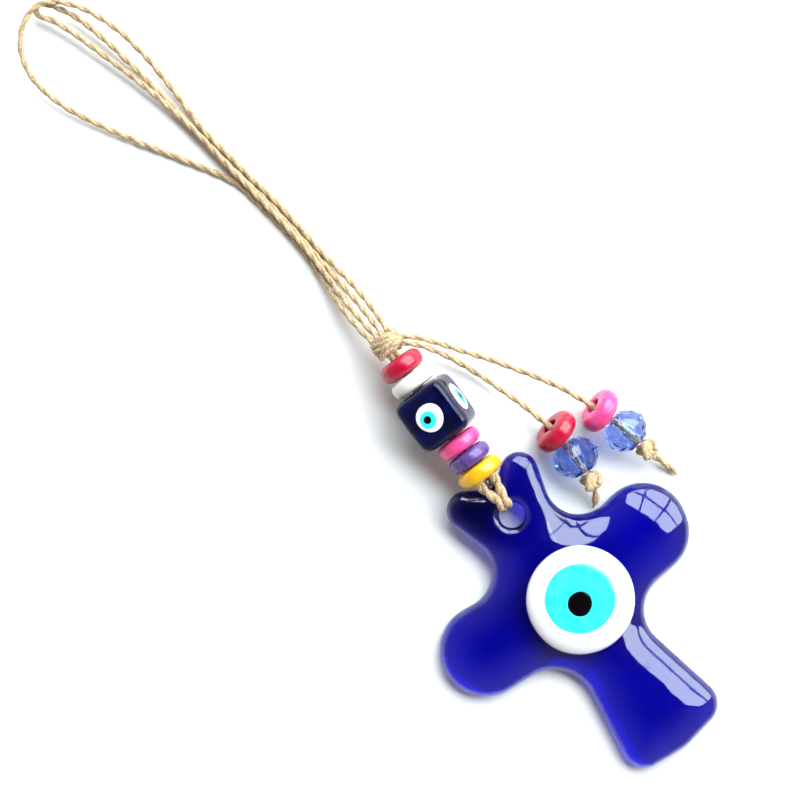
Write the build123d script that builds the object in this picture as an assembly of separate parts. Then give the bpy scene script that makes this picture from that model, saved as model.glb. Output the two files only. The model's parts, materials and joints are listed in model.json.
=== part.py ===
"""Evil eye ornament: a blue glass cross with an eye, hung from a beaded twine string.

Millimetres. The origin is the middle of the eye, on the flat back of the glass, which lies on
the table at Z = 0. +Z points out of the front, +Y points up the cross to its hanging hole and
on along the string, and +X is to the right, seen from the front.
"""
import os
from math import acos, atan2, cos, hypot, pi, radians, sin, sqrt, tan

from build123d import *

OUT = "parts"

# ---- glass cross ----------------------------------------------------------------------------
GLASS_THICK = 8.0          # front face above the back
GLASS_EDGE_TOP = 3.0       # rounding of the front edge
TAB_EDGE_BACK = 1.9        # rounding of the back edges of the raised tab
# The outline is a belt of straight tangents round these discs: (x, y, radius). A disc with a
# negative radius is a hollow that the belt passes on its other side.
ARM_RIGHT_TOP = (24.8, 5.0, 11.7)
ARM_RIGHT_BOTTOM = (24.4, 3.8, 11.8)
ARM_LEFT = (-27.8, 3.6, 12.2)
HOLLOW_TOP_RIGHT = (18.8, 25.4, -9.4)
HOLLOW_TOP_LEFT = (-22.0, 24.6, -9.4)
HOLLOW_LOW_LEFT = (-23.0, -19.8, -10.8)
HOLLOW_LOW_RIGHT = (20.4, -18.6, -10.2)
LOBE_RIGHT = (7.2, 36.6, 5.0)
LOBE_LEFT = (-10.0, 36.3, 5.3)
FOOT_LEFT = (-9.0, -41.0, 6.3)
FOOT_MIDDLE = (-1.0, -36.0, 12.0)
FOOT_RIGHT = (8.0, -40.3, 6.2)

STRING_X = -1.2            # the string's centre line, side to side
HOLE_Y = 28.5
HOLE_R = 3.5
HOLE_LIP = 2.0             # rounding of the hole's front rim
NOTCH_R = 3.0              # the hollow between the two lobes
BRIDGE_LEN = 5.3           # glass between the hole and the hollow
TAB_RELIEF = 3.0           # the tab's back stands this far above the table, clear of the twine
TAB_RAMP_LEN = 3.0         # the back rises over this length
TAB_RAMP_BEFORE = 0.5      # and has done so this far before the hole

# ---- eye on the glass -----------------------------------------------------------------------
EYE_Y = 0.3
EYE_R = 14.2
EYE_RISE = 3.0             # the white stands this far proud of the glass
EYE_SUNK = 1.5             # and is melted this deep into it
EYE_CROWN = 2.0            # rise of its round top, from rim to middle
EYE_RIM_EDGE = 0.8
IRIS_OFFSET = (0.0, 0.7)
IRIS_R = 9.1
IRIS_DEPTH = 3.2           # below the top of the white
PUPIL_OFFSET = (-0.8, -0.3)
PUPIL_R = 3.2
PUPIL_DEPTH = 2.2

# ---- twine ----------------------------------------------------------------------------------
TWINE = 1.6                # diameter
TWINE_R = TWINE / 2
STRAND_GAP = 0.06          # between neighbouring strands
BORE_CLEAR = 0.18          # round the four strands in a bore
BRIDGE_CLEAR = 0.17        # between the twine and the bridge's rounded corners
END_GAP = 0.1              # between a pivoting strand's round end and the knot
BEND_SHARE = 0.45          # share of its shorter run that a bend's rounding takes up

# ---- bead stack, from the glass to the knot -------------------------------------------------
STACK_CLEAR = 1.22         # from the twine's turn round the bridge to the first bead
STACK_BEND_BEFORE = 0.5    # the twine behind straightens this far before the first bead
STACK_BEND_RUN = 1.1       # length of the straight runs that its last bend rounds off
STACK_GAP = 0.25           # between neighbouring beads
YELLOW_D = 12.6
YELLOW_T = 4.4
PURPLE_D = 11.9
PURPLE_T = 4.25
PINK_D = 12.2
PINK_T = 4.2
CUBE_SIDE = 14.2           # across the flats at the corners
CUBE_BULGE = 0.45          # each side's middle stands out by this
CUBE_LEN = 15.4
CUBE_CORNER = 2.5
CUBE_END_EDGE = 1.6
CUBE_TURN = -17.0          # how far the cube has rolled on the string, in degrees
WHITE_D = 12.5
WHITE_T = 4.3
RED_D = 12.0
RED_T = 5.0
BORE_EDGE = 0.35           # rounding at each end of a bore
BEAD_RIM = 0.46            # rounding of a round bead's rim, as a share of its thickness

CUBE_EYE_R = 3.7
CUBE_EYE_INLAY = 0.9
CUBE_IRIS_R = 2.45
CUBE_IRIS_INLAY = 0.7
CUBE_PUPIL_R = 1.3
CUBE_PUPIL_INLAY = 0.5
CUBE_IRIS_SHIFT = (-0.6, -0.2)    # across and along the string, on each side
CUBE_PUPIL_SHIFT = (-0.8, -0.1)

# ---- main knot ------------------------------------------------------------------------------
KNOT_GAP = 1.85            # bare strands between the last bead and the knot
KNOT_D = 8.1
KNOT_T = 4.7
KNOT_EDGE = 2.0
TAIL_A_EXIT = -42.0        # where the tails leave the knot's rounded edge, in degrees
TAIL_B_EXIT = -7.0

# ---- tails ----------------------------------------------------------------------------------
TAIL_RED_D = 12.4
TAIL_RED_T = 5.0
TAIL_PINK_D = 12.0
TAIL_PINK_T = 5.0
TAIL_BORE_R = 2.15
TAIL_LEAN = 15.0           # the tail beads lean back from the knot, in degrees
CRYSTAL_A_D = 12.6
CRYSTAL_B_D = 12.1
CRYSTAL_T = 9.0
CRYSTAL_TABLE_R = 3.3      # the flat round each end of its bore
CRYSTAL_GIRDLE = 1.6       # the band round its widest part
CRYSTAL_SIDES = 12
CRYSTAL_BORE_R = 1.05
TAIL_Z = 6.45              # height of the tail's last stretch, through its bead and crystal
BEAD_FROM_BEND = 3.0       # the tail bead's middle, up the cord from its last bend
CRYSTAL_FROM_BEND = 5.6    # the crystal's middle, down the cord from that bend
END_KNOT_GAP = 0.15        # between the crystal and the end knot
END_KNOT_R = 2.65
END_LUMP_R = 2.4
END_LUMP_STEP = 2.2


# ---- routes of the twine that lies free: (x, y, z), each point a bend --------------------------
ROUTES_KNOT_Y = 83.5       # they are drawn for a knot whose middle is here, and move with it
LOOP_OUTER = [
    (-4.3, 91, 7.2), (-4.8, 97, 4.9), (-4.4, 104, 2.6), (-3.6, 113, 0.92), (-4.3, 123, 0.86),
    (-5.6, 133, 0.86), (-7.1, 141.8, 0.86), (-11.8, 150, 0.9), (-18.2, 160, 1.0),
    (-24.6, 170.5, 1.3), (-30.4, 181, 2.0), (-34.0, 191, 3.0), (-34.6, 200, 4.0),
    (-31.6, 207.2, 4.8), (-25, 211.2, 5.4), (-18.0, 210.9, 5.6), (-12.0, 206, 5.3),
    (-8.4, 197, 4.4), (-6.8, 187, 3.5), (-6.2, 177, 2.4), (-6.4, 167, 1.4), (-6.1, 158, 0.9),
    (-4.85, 149, 0.86), (-3.4, 140, 0.86), (-1.9, 131, 0.86), (-0.75, 121, 0.86),
    (-0.1, 112, 0.92), (1.1, 104, 2.4), (1.75, 97, 4.7), (1.6, 91, 7.1)]
LOOP_INNER = [
    (-2.3, 91, 7.3), (-2.95, 97, 5.1), (-2.9, 104, 3.5), (-2.75, 112, 2.55), (-3.35, 121.5, 2.4),
    (-4.55, 132, 2.4), (-6.0, 142, 2.4), (-7.0, 151, 2.55), (-8.2, 160, 2.6), (-9.9, 169, 2.75),
    (-12.2, 178, 3.0), (-14.6, 187, 3.3), (-17.2, 196, 3.55), (-20.0, 204.4, 3.6),
    (-21.6, 208.4, 3.55), (-20.5, 210.1, 3.5), (-18.5, 210.0, 3.5), (-17.4, 208.2, 3.55),
    (-15.6, 204.2, 3.6), (-13.9, 198, 3.3), (-12.2, 190, 2.8), (-10.9, 182, 2.1),
    (-9.9, 174.5, 1.4), (-8.8, 166.5, 0.95), (-8.0, 158.5, 0.86), (-6.9, 150.5, 0.86),
    (-5.4, 142, 0.86), (-3.75, 132, 0.86), (-2.5, 121.5, 0.86), (-1.9, 112.5, 0.9),
    (-1.0, 104.5, 2.3), (-0.55, 97, 4.7), (-0.35, 91, 7.1)]
TAIL_A_ROUTE = [
    (5.9, 78.5, 7.6), (8.7, 74.3, 5.6), (11.6, 68.8, 3.8), (14.1, 62.5, 3.0), (16.2, 56.3, 4.0),
    (18.3, 49.9, TAIL_Z), (21.7, 36.3, TAIL_Z)]
TAIL_B_ROUTE = [
    (5.9, 81.0, 8.1), (8.7, 77.9, 6.9), (12.9, 72.2, 4.4), (17.3, 66.3, 2.9), (21.6, 60.0, 2.7),
    (25.6, 53.6, 4.0), (29.36, 47.0, TAIL_Z), (34.6, 34.0, TAIL_Z)]
TAIL_A_DROP = -94.7        # direction of the cord past its last bend, in degrees from +X
TAIL_B_DROP = -78.0
END_A_ROUTE = [(20.0, 19.9, 3.6), (18.5, 17.9, 2.2), (17.2, 16.9, 1.7)]
END_B_ROUTE = [(37.9, 18.6, 3.2), (39.7, 14.9, 1.5), (40.4, 10.6, 1.0)]


# ---- helpers --------------------------------------------------------------------------------

def belt(discs):
    """Closed outline, counter-clockwise: straight tangents and arcs round the discs."""
    leave = []
    for (x1, y1, r1), (x2, y2, r2) in zip(discs, discs[1:] + discs[:1]):
        along = atan2(y2 - y1, x2 - x1)
        leave.append(along - acos((r1 - r2) / hypot(x2 - x1, y2 - y1)))
    rims = []
    for index, (x, y, r) in enumerate(discs):
        start = leave[index - 1]
        turn = (leave[index] - start) % (2 * pi)
        if r < 0:
            turn -= 2 * pi
        rims.append([(x + r * cos(start + turn * t), y + r * sin(start + turn * t))
                     for t in (0, 0.5, 1)])
    edges = []
    for rim, after in zip(rims, rims[1:] + rims[:1]):
        edges += ThreePointArc(*rim).edges()
        edges += Line(rim[2], after[0]).edges()
    return make_face(Wire(edges))


def tube(points, radii, label):
    """Round cord along straight runs joined by arcs of the given radii."""
    path = FilletPolyline(*points, radius=radii)
    circle = Plane(origin=path @ 0, z_dir=path % 0) * Circle(TWINE_R)
    solid = sweep(circle, path=path)
    expected = pi * TWINE_R ** 2 * path.length
    print(f"{label}: length {path.length:.1f}, volume {solid.volume:.1f} of {expected:.1f}, "
          f"radii {min(radii):.1f} to {max(radii):.1f}")
    return solid


def corner_radii(points):
    """One radius for each bend: a share of its shorter run over the tangent of half its turn."""
    radii = []
    for a, b, c in zip(points, points[1:], points[2:]):
        first = Vector(*b) - Vector(*a)
        second = Vector(*c) - Vector(*b)
        half_turn = radians(first.get_angle(second)) / 2
        radii.append(BEND_SHARE * min(first.length, second.length) / tan(half_turn))
    return radii


def cord(points, label):
    return tube(points, corner_radii(points), label)


def one(shape):
    """The single solid of a shape that is made of one piece."""
    solids = shape.solids()
    assert len(solids) == 1, f"{len(solids)} solids"
    return solids[0]


def on_string(y):
    """Plane across the string at y, with its Z along the string and its X to the side."""
    return Plane(origin=(STRING_X, y, STACK_Z), x_dir=(1, 0, 0), z_dir=(0, 1, 0))


def moved(points, knot_y):
    """A route's points, carried along with the knot."""
    return [(x, y + knot_y - ROUTES_KNOT_Y, z) for x, y, z in points]


def save(name, shape):
    export_step(shape, f"{OUT}/{name}.step")


# ---- glass ----------------------------------------------------------------------------------
HOLE_TOP = HOLE_Y + HOLE_R
BRIDGE_Y = HOLE_TOP + BRIDGE_LEN / 2
BRIDGE_THICK = GLASS_THICK - TAB_RELIEF
BRIDGE_Z = TAB_RELIEF + BRIDGE_THICK / 2
BRIDGE_REACH = TAB_EDGE_BACK + hypot(         # from the bridge's middle to its rounded corners
    BRIDGE_LEN / 2 - TAB_EDGE_BACK, BRIDGE_THICK / 2 - TAB_EDGE_BACK)
WRAP_R = BRIDGE_REACH + BRIDGE_CLEAR + TWINE_R  # the twine's centre round the bridge
STRAND_SHIFT = TWINE_R + STRAND_GAP / 2      # a strand's centre from the string's centre line
STACK_Z = BRIDGE_Z + WRAP_R - STRAND_SHIFT   # height of the string's centre line
STACK_START = BRIDGE_Y + WRAP_R + TWINE_R + STACK_CLEAR     # near face of the first bead
BORE_R = STRAND_SHIFT * sqrt(2) + TWINE_R + BORE_CLEAR


def glass_outline():
    notch = (STRING_X, HOLE_TOP + BRIDGE_LEN + NOTCH_R, -NOTCH_R)
    return belt([
        ARM_RIGHT_TOP, HOLLOW_TOP_RIGHT, LOBE_RIGHT, notch, LOBE_LEFT, HOLLOW_TOP_LEFT,
        ARM_LEFT, HOLLOW_LOW_LEFT, FOOT_LEFT, FOOT_MIDDLE, FOOT_RIGHT, HOLLOW_LOW_RIGHT,
        ARM_RIGHT_BOTTOM])


def tab_relief(box):
    """What is cut away under the tab: a ramp, then a slab as wide as the whole cross."""
    ramp_end = HOLE_Y - HOLE_R - TAB_RAMP_BEFORE
    ramp_start = ramp_end - TAB_RAMP_LEN
    side = make_face(Polyline(
        (ramp_start, 0), (ramp_end, TAB_RELIEF), (box.max.Y, TAB_RELIEF), (box.max.Y, 0),
        close=True))
    return extrude(Plane.YZ.offset(box.min.X) * side, box.size.X)


def make_glass():
    """Flat-backed casting with a soft front edge; its tab is raised off the table."""
    cross = extrude(glass_outline(), GLASS_THICK)
    top_edges = cross.faces().sort_by(Axis.Z)[-1].edges()
    cross = fillet(top_edges, GLASS_EDGE_TOP)
    cross -= tab_relief(cross.bounding_box())
    hole = Pos(STRING_X, HOLE_Y, 0) * extrude(Circle(HOLE_R), GLASS_THICK)
    cross -= hole
    rim = cross.edges().filter_by(GeomType.CIRCLE).filter_by(
        lambda e: abs(e.radius - HOLE_R) < 0.01).sort_by(Axis.Z)
    cross = fillet(rim[-1], HOLE_LIP)
    raised = cross.faces().filter_by(Axis.Z).sort_by(
        lambda face: abs(face.center().Z - TAB_RELIEF))[0]
    ramp_line = raised.edges().sort_by(Axis.Y)[0]
    cross = fillet([e for e in raised.edges() if e != ramp_line], TAB_EDGE_BACK)
    sunk = Pos(0, EYE_Y, GLASS_THICK - EYE_SUNK) * extrude(Circle(EYE_R), EYE_SUNK)
    return one(cross - sunk)


def eye_drop():
    """The drop of white: an upright rim, partly in the glass, under a shallow round crown."""
    base = GLASS_THICK - EYE_SUNK
    ball_r = (EYE_R ** 2 + EYE_CROWN ** 2) / (2 * EYE_CROWN)
    ball = Pos(0, 0, GLASS_THICK + EYE_RISE - ball_r) * Rot(90, 0, 0) * Sphere(ball_r)
    drop = (Pos(0, 0, base) * extrude(Circle(EYE_R), EYE_SUNK + EYE_RISE)) & ball
    edge = drop.edges().filter_by(GeomType.CIRCLE).sort_by(Axis.Z)[-1]
    return Pos(0, EYE_Y, 0) * fillet(edge, EYE_RIM_EDGE)


def make_eye():
    drop = eye_drop()
    top = GLASS_THICK + EYE_RISE
    iris_cut = Pos(IRIS_OFFSET[0], EYE_Y + IRIS_OFFSET[1], top - IRIS_DEPTH) * extrude(
        Circle(IRIS_R), IRIS_DEPTH)
    pupil_cut = Pos(PUPIL_OFFSET[0], EYE_Y + PUPIL_OFFSET[1], top - PUPIL_DEPTH) * extrude(
        Circle(PUPIL_R), PUPIL_DEPTH)
    return {
        "eye_white": one(drop - iris_cut),
        "eye_iris": one((drop & iris_cut) - pupil_cut),
        "eye_pupil": one(drop & pupil_cut)}


# ---- beads ----------------------------------------------------------------------------------

def rondelle(diameter, thick, bore_r):
    """Flat round bead with a half-round rim, its bore along Z and its middle at the origin."""
    body = Cylinder(diameter / 2, thick) - Cylinder(bore_r, thick)
    rim = body.edges().filter_by(GeomType.CIRCLE).filter_by(lambda e: e.radius > diameter / 2.1)
    body = fillet(rim, thick * BEAD_RIM)
    mouth = body.edges().filter_by(GeomType.CIRCLE).filter_by(lambda e: e.radius < bore_r * 1.01)
    return one(fillet(mouth, BORE_EDGE))


def stack_places():
    """Each stack piece's middle along the string, worked out from the one before it."""
    places = {}
    y = STACK_START
    for name, thick in (("yellow_bead", YELLOW_T), ("purple_bead", PURPLE_T),
                        ("pink_bead", PINK_T), ("cube_bead", CUBE_LEN),
                        ("white_bead", WHITE_T), ("top_red_bead", RED_T)):
        places[name] = y + thick / 2
        y += thick + STACK_GAP
    places["knot"] = y - STACK_GAP + KNOT_GAP + KNOT_T / 2
    return places


def make_stack(places):
    sizes = {
        "yellow_bead": (YELLOW_D, YELLOW_T), "purple_bead": (PURPLE_D, PURPLE_T),
        "pink_bead": (PINK_D, PINK_T), "white_bead": (WHITE_D, WHITE_T),
        "top_red_bead": (RED_D, RED_T)}
    return {name: on_string(places[name]) * rondelle(*size, BORE_R)
            for name, size in sizes.items()}


def cube_blank():
    """Rounded cube with slightly bulging sides, its bore along Z."""
    half = CUBE_SIDE / 2
    mid = half + CUBE_BULGE
    sides = []
    for quarter in range(4):
        turned = Rot(0, 0, 90 * quarter)
        sides += (turned * ThreePointArc((half, -half), (mid, 0), (half, half))).edges()
    section = make_face(Wire(sides))
    section = fillet(section.vertices(), CUBE_CORNER)
    blank = Pos(0, 0, -CUBE_LEN / 2) * extrude(section, CUBE_LEN)
    ends = blank.faces().sort_by(Axis.Z)
    blank = fillet(ends[0].edges() + ends[-1].edges(), CUBE_END_EDGE)
    blank -= Cylinder(BORE_R, CUBE_LEN)
    mouth = blank.edges().filter_by(GeomType.CIRCLE).filter_by(lambda e: e.radius < BORE_R * 1.01)
    return fillet(mouth, BORE_EDGE)


def side_core(quarter, radius, inlay, shift):
    """Round bar that reaches in from one side of the cube to the depth of an inlay."""
    depth = CUBE_SIDE / 2 + CUBE_BULGE - inlay
    bar = extrude(Circle(radius), CUBE_SIDE)
    across, along = shift
    facing = Plane(origin=(0, 0, 0), x_dir=(1, 0, 0), z_dir=(0, -1, 0))
    return Rot(0, 0, 90 * quarter) * (facing * (Pos(across, along, depth) * bar))


def make_cube(place):
    """The cube and, on each of its four sides, a white, an iris and a pupil laid in flush."""
    blank = cube_blank()
    cube = blank
    found = {}
    for quarter, side in enumerate(("front", "right", "back", "left")):
        white = side_core(quarter, CUBE_EYE_R, CUBE_EYE_INLAY, (0, 0))
        iris = side_core(quarter, CUBE_IRIS_R, CUBE_IRIS_INLAY, CUBE_IRIS_SHIFT)
        pupil = side_core(quarter, CUBE_PUPIL_R, CUBE_PUPIL_INLAY, CUBE_PUPIL_SHIFT)
        found[f"cube_{side}_white"] = (blank & white) - iris
        found[f"cube_{side}_iris"] = (blank & iris) - pupil
        found[f"cube_{side}_pupil"] = blank & pupil
        cube -= white
    found["cube_bead"] = cube
    seat = on_string(place) * Rot(0, 0, CUBE_TURN)
    return {name: seat * one(shape) for name, shape in found.items()}


# ---- knots, strands and tails -----------------------------------------------------------------

def make_knot(place):
    knot = fillet(Cylinder(KNOT_D / 2, KNOT_T).edges().filter_by(GeomType.CIRCLE), KNOT_EDGE)
    return one(on_string(place) * knot)


def make_glass_loop(side, knot_face):
    """One pass of the twine: from the knot through the beads, round the bridge and back."""
    x = STRING_X + side * STRAND_SHIFT
    front = STACK_Z + STRAND_SHIFT
    back = STACK_Z - STRAND_SHIFT
    bend_y = STACK_START - STACK_BEND_BEFORE
    reach = hypot(bend_y - BRIDGE_Y, back - BRIDGE_Z)
    leave = atan2(back - BRIDGE_Z, bend_y - BRIDGE_Y) - acos(WRAP_R / reach)

    def on_wrap(angle):
        return (x, BRIDGE_Y + WRAP_R * cos(angle), BRIDGE_Z + WRAP_R * sin(angle))

    half_way = (pi / 2 + leave + 2 * pi) / 2
    off_wrap = on_wrap(leave)
    turn = Vector(0, bend_y - off_wrap[1], back - off_wrap[2]).get_angle(Vector(0, 1, 0))
    soft = STACK_BEND_RUN / tan(radians(turn) / 2)
    rise = FilletPolyline(off_wrap, (x, bend_y, back), (x, knot_face, back), radius=soft)
    path = Wire([
        *Line((x, knot_face, front), (x, BRIDGE_Y, front)).edges(),
        *ThreePointArc(on_wrap(pi / 2), on_wrap(half_way), off_wrap).edges(),
        *rise.edges()])
    circle = Plane(origin=(x, knot_face, front), z_dir=(0, -1, 0)) * Circle(TWINE_R)
    solid = sweep(circle, path=path)
    print(f"glass loop {side:+d}: length {path.length:.1f}, volume {solid.volume:.1f} of "
          f"{pi * TWINE_R ** 2 * path.length:.1f}, radii {WRAP_R:.1f} and {soft:.1f}")
    return one(solid)


def row_x(index):
    """Four strands leave the top of the knot side by side."""
    return STRING_X + (index - 1.5) * 2 * STRAND_SHIFT


def make_hanging_loops(knot_y):
    y = knot_y + KNOT_T / 2 + TWINE_R + END_GAP
    loops = {}
    for name, route, first, last in (("hanging_loop_outer", LOOP_OUTER, 0, 3),
                                     ("hanging_loop_inner", LOOP_INNER, 1, 2)):
        ends = [(row_x(index), y, STACK_Z) for index in (first, last)]
        strand = cord([ends[0], *moved(route, knot_y), ends[1]], name)
        for end in ends:
            strand += Pos(*end) * Sphere(TWINE_R)
        loops[name] = one(strand)
    return loops


def knot_exit(place, angle):
    """Centre of a tail's round end, just clear of the knot's rounded edge."""
    flat = KNOT_D / 2 - KNOT_EDGE
    stand_off = KNOT_EDGE + TWINE_R + END_GAP
    edge_y = place - KNOT_T / 2 + KNOT_EDGE
    turned = radians(angle)
    return (STRING_X + flat + stand_off * cos(turned), edge_y + stand_off * sin(turned), STACK_Z)


def crystal(diameter):
    """Faceted rondelle on a bore along Z: two crowns of kite facets round a narrow girdle."""
    half = CRYSTAL_T / 2
    band = CRYSTAL_GIRDLE / 2
    ring = RegularPolygon(diameter / 2, CRYSTAL_SIDES)
    inner = RegularPolygon(CRYSTAL_TABLE_R, CRYSTAL_SIDES)
    girdle = Pos(0, 0, -band) * extrude(ring, 2 * band)
    upper = loft([Pos(0, 0, band) * ring, Pos(0, 0, half) * inner], ruled=True)
    lower = loft([Pos(0, 0, -half) * inner, Pos(0, 0, -band) * ring], ruled=True)
    stone = girdle + upper + lower
    return one(stone - Cylinder(CRYSTAL_BORE_R, CRYSTAL_T))


def heading(angle):
    return Vector(cos(radians(angle)), sin(radians(angle)), 0)


def make_tail(letter, knot_y, exit_angle, route, drop, bead, bead_size, crystal_d, end_route):
    """One tail: its cord, bead, crystal and the knot that holds them on."""
    start = knot_exit(knot_y, exit_angle)
    *route, bend = moved(route, knot_y)
    bend_at = Vector(*bend)
    down = heading(drop)
    up = (Vector(*route[-1]) - bend_at).normalized()
    stone_at = bend_at + down * CRYSTAL_FROM_BEND
    knot_face = CRYSTAL_FROM_BEND + CRYSTAL_T / 2 + END_KNOT_GAP
    cord_end = bend_at + down * knot_face
    points = [start, *route, bend, tuple(cord_end)]
    strand = cord(points, f"tail_cord_{letter}") + Pos(*start) * Sphere(TWINE_R)

    side = up.cross(Vector(0, 0, 1))
    lean = Plane(origin=bend_at + up * BEAD_FROM_BEND, x_dir=side, z_dir=up)
    tail_bead = lean * Rot(TAIL_LEAN, 0, 0) * rondelle(*bead_size, TAIL_BORE_R)
    stone = Plane(origin=stone_at, x_dir=side, z_dir=down) * crystal(crystal_d)

    flat = sqrt(END_KNOT_R ** 2 - TWINE_R ** 2)
    ball_at = cord_end + down * flat
    lump_at = ball_at + down * END_LUMP_STEP
    end_points = [tuple(lump_at), *moved(end_route, knot_y)]
    end = Pos(*ball_at) * Sphere(END_KNOT_R) + Pos(*lump_at) * Sphere(END_LUMP_R)
    end += cord(end_points, f"end_{letter}")
    size = end.bounding_box().diagonal
    keep = Plane(origin=cord_end, z_dir=down) * Pos(0, 0, size / 2) * Box(size, size, size)
    return {
        f"tail_cord_{letter}": one(strand), bead: one(tail_bead),
        f"crystal_{letter}": stone, f"end_knot_{letter}": one(end & keep)}


# ---- everything -----------------------------------------------------------------------------

def main():
    os.makedirs(OUT, exist_ok=True)
    places = stack_places()
    knot_y = places["knot"]
    pieces = {"glass_cross": make_glass()}
    pieces.update(make_eye())
    pieces.update(make_stack(places))
    pieces.update(make_cube(places["cube_bead"]))
    pieces["main_knot"] = make_knot(knot_y)
    pieces["glass_loop_left"] = make_glass_loop(-1, knot_y - KNOT_T / 2)
    pieces["glass_loop_right"] = make_glass_loop(1, knot_y - KNOT_T / 2)
    pieces.update(make_hanging_loops(knot_y))
    pieces.update(make_tail(
        "a", knot_y, TAIL_A_EXIT, TAIL_A_ROUTE, TAIL_A_DROP, "tail_red_bead",
        (TAIL_RED_D, TAIL_RED_T), CRYSTAL_A_D, END_A_ROUTE))
    pieces.update(make_tail(
        "b", knot_y, TAIL_B_EXIT, TAIL_B_ROUTE, TAIL_B_DROP, "tail_pink_bead",
        (TAIL_PINK_D, TAIL_PINK_T), CRYSTAL_B_D, END_B_ROUTE))
    for name, shape in pieces.items():
        save(name, shape)
    print("bridge", BRIDGE_Y, BRIDGE_Z, "wrap", WRAP_R, "bore", BORE_R)
    print("places", places)


main()
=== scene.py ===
"""Evil eye ornament: the looks of a blue glass cross on a beaded twine string, laid on a table."""

import json
import math

import bmesh
import bpy
import numpy as np
from mathutils import Matrix, Vector


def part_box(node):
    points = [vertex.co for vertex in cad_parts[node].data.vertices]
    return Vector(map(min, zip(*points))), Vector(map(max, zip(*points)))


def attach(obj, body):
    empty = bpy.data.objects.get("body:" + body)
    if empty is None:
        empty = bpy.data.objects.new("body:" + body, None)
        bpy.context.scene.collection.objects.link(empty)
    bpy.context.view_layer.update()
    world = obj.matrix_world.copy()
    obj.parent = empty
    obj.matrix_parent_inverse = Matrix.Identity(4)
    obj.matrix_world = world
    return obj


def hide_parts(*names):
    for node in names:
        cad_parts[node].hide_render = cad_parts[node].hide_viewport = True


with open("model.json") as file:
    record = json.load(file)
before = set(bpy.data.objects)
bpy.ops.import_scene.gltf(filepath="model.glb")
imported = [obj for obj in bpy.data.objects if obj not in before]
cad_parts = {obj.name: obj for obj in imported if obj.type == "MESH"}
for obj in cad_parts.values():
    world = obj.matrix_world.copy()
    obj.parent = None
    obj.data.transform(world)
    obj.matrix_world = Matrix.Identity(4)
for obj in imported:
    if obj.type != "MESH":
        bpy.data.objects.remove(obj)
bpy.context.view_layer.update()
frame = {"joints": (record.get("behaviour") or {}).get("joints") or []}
MM = 0.001
RNG = np.random.default_rng(7)
TAU = 2 * math.pi

# ---- camera -------------------------------------------------------------------------------------
AIM = Vector((-6.8, 70.0, 0.0)) * MM          # the table point in the middle of the picture
VIEW_WIDTH = 211.6 * MM                       # width of table that the picture takes in
VIEW_HEIGHT = 0.46                            # camera above the table
PICTURE_RIGHT = Vector((0.804, -0.595, 0.0))  # the picture's sideways direction on the table


def place_camera():
    data = bpy.data.cameras.new("camera")
    data.sensor_width = 36.0
    data.lens = data.sensor_width * VIEW_HEIGHT / VIEW_WIDTH
    data.clip_start = 0.01
    camera = bpy.data.objects.new("camera", data)
    bpy.context.collection.objects.link(camera)
    right = PICTURE_RIGHT.normalized()
    up = Vector((-right.y, right.x, 0.0))
    turn = Matrix((right, up, Vector((0, 0, 1)))).transposed()
    camera.matrix_world = Matrix.Translation(AIM + Vector((0, 0, VIEW_HEIGHT))) @ turn.to_4x4()
    bpy.context.scene.camera = camera


place_camera()


# ---- meshes from grids of points ----------------------------------------------------------------

def grid_mesh(name, rings, round_u=False, round_v=True, caps=False, smooth=True):
    """A surface through a grid of points: rings[i, j] is the point at step i and place j.

    round_v joins the last place of each ring to its first, round_u joins the last ring to the
    first, and caps closes the two end rings with a fan to their middles. The UV map counts rings
    along U and places along V, in metres. Faces are turned so that the closed volume is positive.
    """
    rings = np.asarray(rings, dtype=float)
    steps, places = rings.shape[:2]
    i, j = np.meshgrid(np.arange(steps if round_u else steps - 1),
                       np.arange(places if round_v else places - 1), indexing="ij")
    i, j = i.ravel(), j.ravel()
    i2, j2 = (i + 1) % steps, (j + 1) % places
    quads = np.stack([i * places + j, i * places + j2, i2 * places + j2, i2 * places + j], 1)
    points = rings.reshape(-1, 3)
    along = np.concatenate([[0], np.cumsum(np.linalg.norm(
        np.diff(rings.mean(1), axis=0), axis=1) + 1e-9)])
    if round_u:
        along = np.concatenate([along, [along[-1] * steps / max(steps - 1, 1)]])
    girth = np.arange(places + 1) / places
    uv = np.stack([
        np.stack([along[i], girth[j]], 1), np.stack([along[i], girth[j + 1]], 1),
        np.stack([along[i + 1], girth[j + 1]], 1), np.stack([along[i + 1], girth[j]], 1)], 1)
    triangles = np.empty((0, 3), dtype=int)
    if caps:
        middles = np.stack([rings[0].mean(0), rings[-1].mean(0)])
        first = len(points)
        points = np.vstack([points, middles])
        around = np.arange(places)
        after = (around + 1) % places
        last = (steps - 1) * places
        triangles = np.vstack([
            np.stack([np.full(places, first), after, around], 1),
            np.stack([np.full(places, first + 1), last + around, last + after], 1)])
    corners = points[quads]
    volume = np.einsum("ij,ij->i", corners[:, 0], np.cross(corners[:, 1], corners[:, 2])).sum()
    volume += np.einsum("ij,ij->i", corners[:, 0], np.cross(corners[:, 2], corners[:, 3])).sum()
    ends = points[triangles]
    volume += np.einsum("ij,ij->i", ends[:, 0], np.cross(ends[:, 1], ends[:, 2])).sum()
    if volume < 0:
        quads, uv, triangles = quads[:, ::-1], uv[:, ::-1], triangles[:, ::-1]
    mesh = bpy.data.meshes.new(name)
    mesh.from_pydata(points.tolist(), [], quads.tolist() + triangles.tolist())
    layer = mesh.uv_layers.new(name="UVMap")
    flat = np.zeros((len(mesh.loops), 2))
    flat[:4 * len(quads)] = uv.reshape(-1, 2)
    layer.data.foreach_set("uv", flat.ravel())
    mesh.polygons.foreach_set("use_smooth", np.full(len(mesh.polygons), smooth))
    mesh.update()
    piece = bpy.data.objects.new(name, mesh)
    bpy.context.collection.objects.link(piece)
    return piece


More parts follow.
